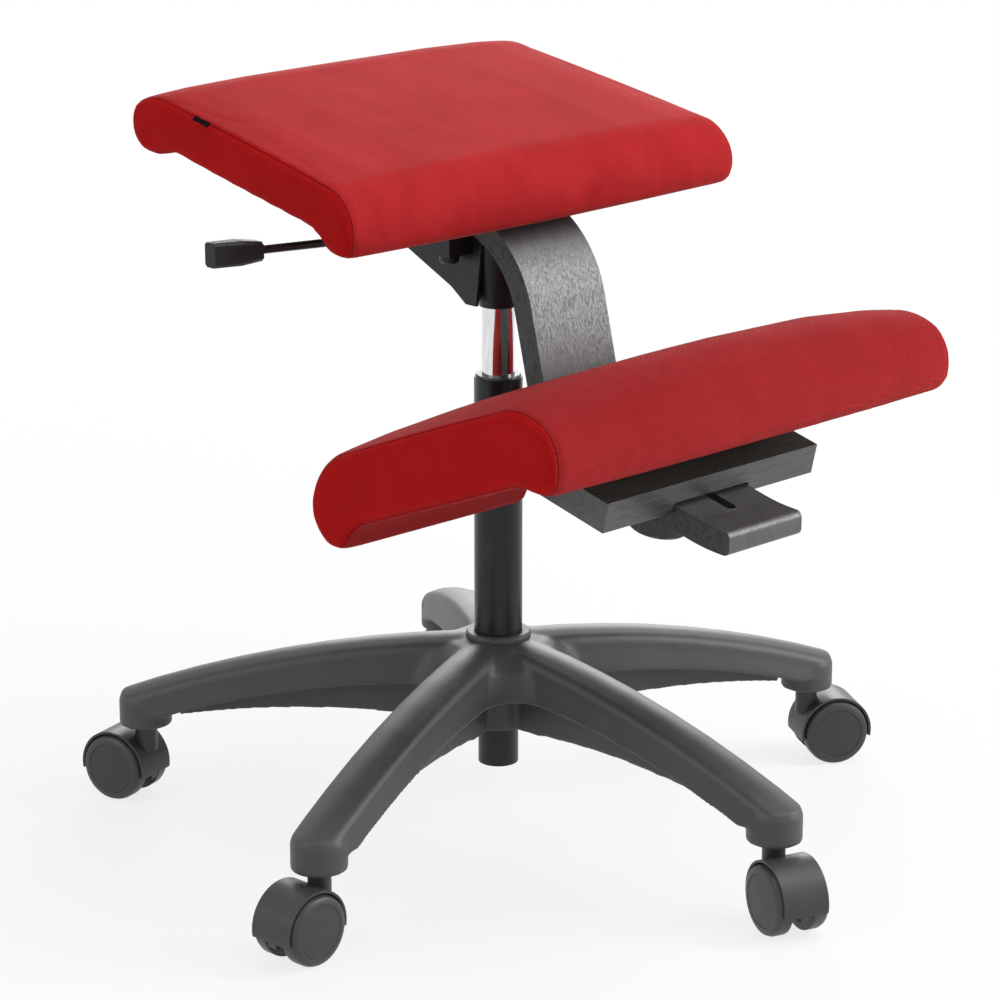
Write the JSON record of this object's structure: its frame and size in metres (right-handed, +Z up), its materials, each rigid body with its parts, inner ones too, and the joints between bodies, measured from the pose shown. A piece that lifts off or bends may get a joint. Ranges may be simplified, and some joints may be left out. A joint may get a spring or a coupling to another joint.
{
  "type": "kneeling chair",
  "caption": "Kneeling chair with a sloping padded seat and knee rest on a bent wooden arm, a gas lift column and a moulded star base on swivelling twin-wheel castors.",
  "frame": {"origin": "on the floor, at the axis of the gas column", "axes": "+Z up along the column, -Y forwards (the way the sitter faces), +X to the sitter's left"},
  "size_m": [0.7268, 0.6959, 0.6612],
  "materials": {
    "base_plastic": "grained",
    "collar_plastic": "satin",
    "column_steel": "satin black powder coat",
    "guide_plastic": "smooth",
    "bearing_steel": "ground",
    "gas_chrome": "polished",
    "bracket_steel": "satin black powder coat",
    "zinc_steel": "zinc plated",
    "lever_steel": "satin black",
    "grip_plastic": "fine grain",
    "valve_plastic": "smooth",
    "hood_plastic": "grained",
    "wheel_plastic": "satin",
    "cap_plastic": "satin",
    "stained_wood": "dark grey stain, open grain",
    "wedge_board": "dark grey paint",
    "plywood": "bare",
    "red_fabric": "woven",
    "knob_plastic": "fine grain"
  },
  "bodies": {
    "base": {"star_base": "base_plastic", "hub_collar": "collar_plastic", "column_tube": "column_steel", "column_bushing": "guide_plastic", "thrust_bearing": "bearing_steel"},
    "gas_rod": {"piston_rod": "bearing_steel", "retaining_clip": "bearing_steel"},
    "upper": {"gas_cylinder": "gas_chrome", "seat_bracket": "bracket_steel", "seat_bolts": "zinc_steel", "seat_board": "plywood", "seat_cushion": "red_fabric", "bent_arm": "stained_wood", "lever_housing": "bracket_steel", "lever_pivot_pin": "zinc_steel"},
    "lever": {"lever_rod": "lever_steel", "lever_grip": "grip_plastic"},
    "valve": {"valve_button": "valve_plastic"},
    "knee_rest": {"knee_wedge": "wedge_board", "knee_pad_board": "plywood", "knee_cushion": "red_fabric", "clamp_bolt": "zinc_steel", "clamp_washer": "zinc_steel"},
    "knob": {"clamp_knob": "knob_plastic"},
    "castor_1": {"castor_hood_1": "hood_plastic", "castor_stem_1": "zinc_steel", "castor_axle_1": "zinc_steel"},
    "castor_1_left_wheel": {"castor_wheel_left_1": "wheel_plastic", "castor_cap_left_1": "cap_plastic"},
    "castor_1_right_wheel": {"castor_wheel_right_1": "wheel_plastic", "castor_cap_right_1": "cap_plastic"},
    "castor_2": {"castor_hood_2": "hood_plastic", "castor_stem_2": "zinc_steel", "castor_axle_2": "zinc_steel"},
    "castor_2_left_wheel": {"castor_wheel_left_2": "wheel_plastic", "castor_cap_left_2": "cap_plastic"},
    "castor_2_right_wheel": {"castor_wheel_right_2": "wheel_plastic", "castor_cap_right_2": "cap_plastic"},
    "castor_3": {"castor_hood_3": "hood_plastic", "castor_stem_3": "zinc_steel", "castor_axle_3": "zinc_steel"},
    "castor_3_left_wheel": {"castor_wheel_left_3": "wheel_plastic", "castor_cap_left_3": "cap_plastic"},
    "castor_3_right_wheel": {"castor_wheel_right_3": "wheel_plastic", "castor_cap_right_3": "cap_plastic"},
    "castor_4": {"castor_hood_4": "hood_plastic", "castor_stem_4": "zinc_steel", "castor_axle_4": "zinc_steel"},
    "castor_4_left_wheel": {"castor_wheel_left_4": "wheel_plastic", "castor_cap_left_4": "cap_plastic"},
    "castor_4_right_wheel": {"castor_wheel_right_4": "wheel_plastic", "castor_cap_right_4": "cap_plastic"},
    "castor_5": {"castor_hood_5": "hood_plastic", "castor_stem_5": "zinc_steel", "castor_axle_5": "zinc_steel"},
    "castor_5_left_wheel": {"castor_wheel_left_5": "wheel_plastic", "castor_cap_left_5": "cap_plastic"},
    "castor_5_right_wheel": {"castor_wheel_right_5": "wheel_plastic", "castor_cap_right_5": "cap_plastic"}
  },
  "joints": [
    {"name": "column_swivel", "type": "hinge", "parent": "base", "child": "gas_rod", "pos_m": [0, 0, 0], "axis": [0, 0, 1], "continuous": true},
    {"name": "height_slide", "type": "slide", "parent": "gas_rod", "child": "upper", "axis": [0, 0, 1], "range_m": [-0.058, 0.062]},
    {"name": "lever_hinge", "type": "hinge", "parent": "upper", "child": "lever", "pos_m": [-0.04, 0.018, 0.5376], "axis": [0, 1, 0], "range_deg": [0, 4], "stiffness_Nm_per_rad": 8, "springref_deg": -3.44},
    {"name": "valve_press", "type": "slide", "parent": "upper", "child": "valve", "axis": [0, 0, -1], "range_m": [0, 0.0028]},
    {"name": "knee_slide", "type": "slide", "parent": "upper", "child": "knee_rest", "axis": [0, -0.9744, -0.225], "range_m": [-0.01, 0.045]},
    {"name": "knob_turn", "type": "hinge", "parent": "knee_rest", "child": "knob", "pos_m": [0, -0.203, 0.36531], "axis": [0, -0.225, 0.9744], "range_deg": [0, 360]},
    {"name": "castor_1_swivel", "type": "hinge", "parent": "base", "child": "castor_1", "pos_m": [0.00894, -0.31988, 0.0715], "axis": [0, 0, 1], "continuous": true},
    {"name": "castor_1_left_spin", "type": "hinge", "parent": "castor_1", "child": "castor_1_left_wheel", "pos_m": [0.00141, -0.34224, 0.03], "axis": [0.9478, -0.319, 0], "continuous": true},
    {"name": "castor_1_right_spin", "type": "hinge", "parent": "castor_1", "child": "castor_1_right_wheel", "pos_m": [0.00141, -0.34224, 0.03], "axis": [0.9478, -0.319, 0], "continuous": true},
    {"name": "castor_2_swivel", "type": "hinge", "parent": "base", "child": "castor_2", "pos_m": [0.30698, -0.09035, 0.0715], "axis": [0, 0, 1], "continuous": true},
    {"name": "castor_2_left_spin", "type": "hinge", "parent": "castor_2", "child": "castor_2_left_wheel", "pos_m": [0.32752, -0.10197, 0.03], "axis": [0.4924, 0.8704, 0], "continuous": true},
    {"name": "castor_2_right_spin", "type": "hinge", "parent": "castor_2", "child": "castor_2_right_wheel", "pos_m": [0.32752, -0.10197, 0.03], "axis": [0.4924, 0.8704, 0], "continuous": true},
    {"name": "castor_3_swivel", "type": "hinge", "parent": "base", "child": "castor_3", "pos_m": [0.18079, 0.26404, 0.0715], "axis": [0, 0, 1], "continuous": true},
    {"name": "castor_3_left_spin", "type": "hinge", "parent": "castor_3", "child": "castor_3_left_wheel", "pos_m": [0.19936, 0.2786, 0.03], "axis": [-0.617, 0.7869, 0], "continuous": true},
    {"name": "castor_3_right_spin", "type": "hinge", "parent": "castor_3", "child": "castor_3_right_wheel", "pos_m": [0.19936, 0.2786, 0.03], "axis": [-0.617, 0.7869, 0], "continuous": true},
    {"name": "castor_4_swivel", "type": "hinge", "parent": "base", "child": "castor_4", "pos_m": [-0.19525, 0.25353, 0.0715], "axis": [0, 0, 1], "continuous": true},
    {"name": "castor_4_left_spin", "type": "hinge", "parent": "castor_4", "child": "castor_4_left_wheel", "pos_m": [-0.20171, 0.27623, 0.03], "axis": [-0.9617, -0.274, 0], "continuous": true},
    {"name": "castor_4_right_spin", "type": "hinge", "parent": "castor_4", "child": "castor_4_right_wheel", "pos_m": [-0.20171, 0.27623, 0.03], "axis": [-0.9617, -0.274, 0], "continuous": true},
    {"name": "castor_5_swivel", "type": "hinge", "parent": "base", "child": "castor_5", "pos_m": [-0.30146, -0.10734, 0.0715], "axis": [0, 0, 1], "continuous": true},
    {"name": "castor_5_left_spin", "type": "hinge", "parent": "castor_5", "child": "castor_5_left_wheel", "pos_m": [-0.32498, -0.10924, 0.03], "axis": [0.0802, -0.9968, 0], "continuous": true},
    {"name": "castor_5_right_spin", "type": "hinge", "parent": "castor_5", "child": "castor_5_right_wheel", "pos_m": [-0.32498, -0.10924, 0.03], "axis": [0.0802, -0.9968, 0], "continuous": true}
  ],
  "couplings": [
    {"joint": "valve_press", "follows": "lever_hinge", "m_per_rad": 0.04}
  ]
}
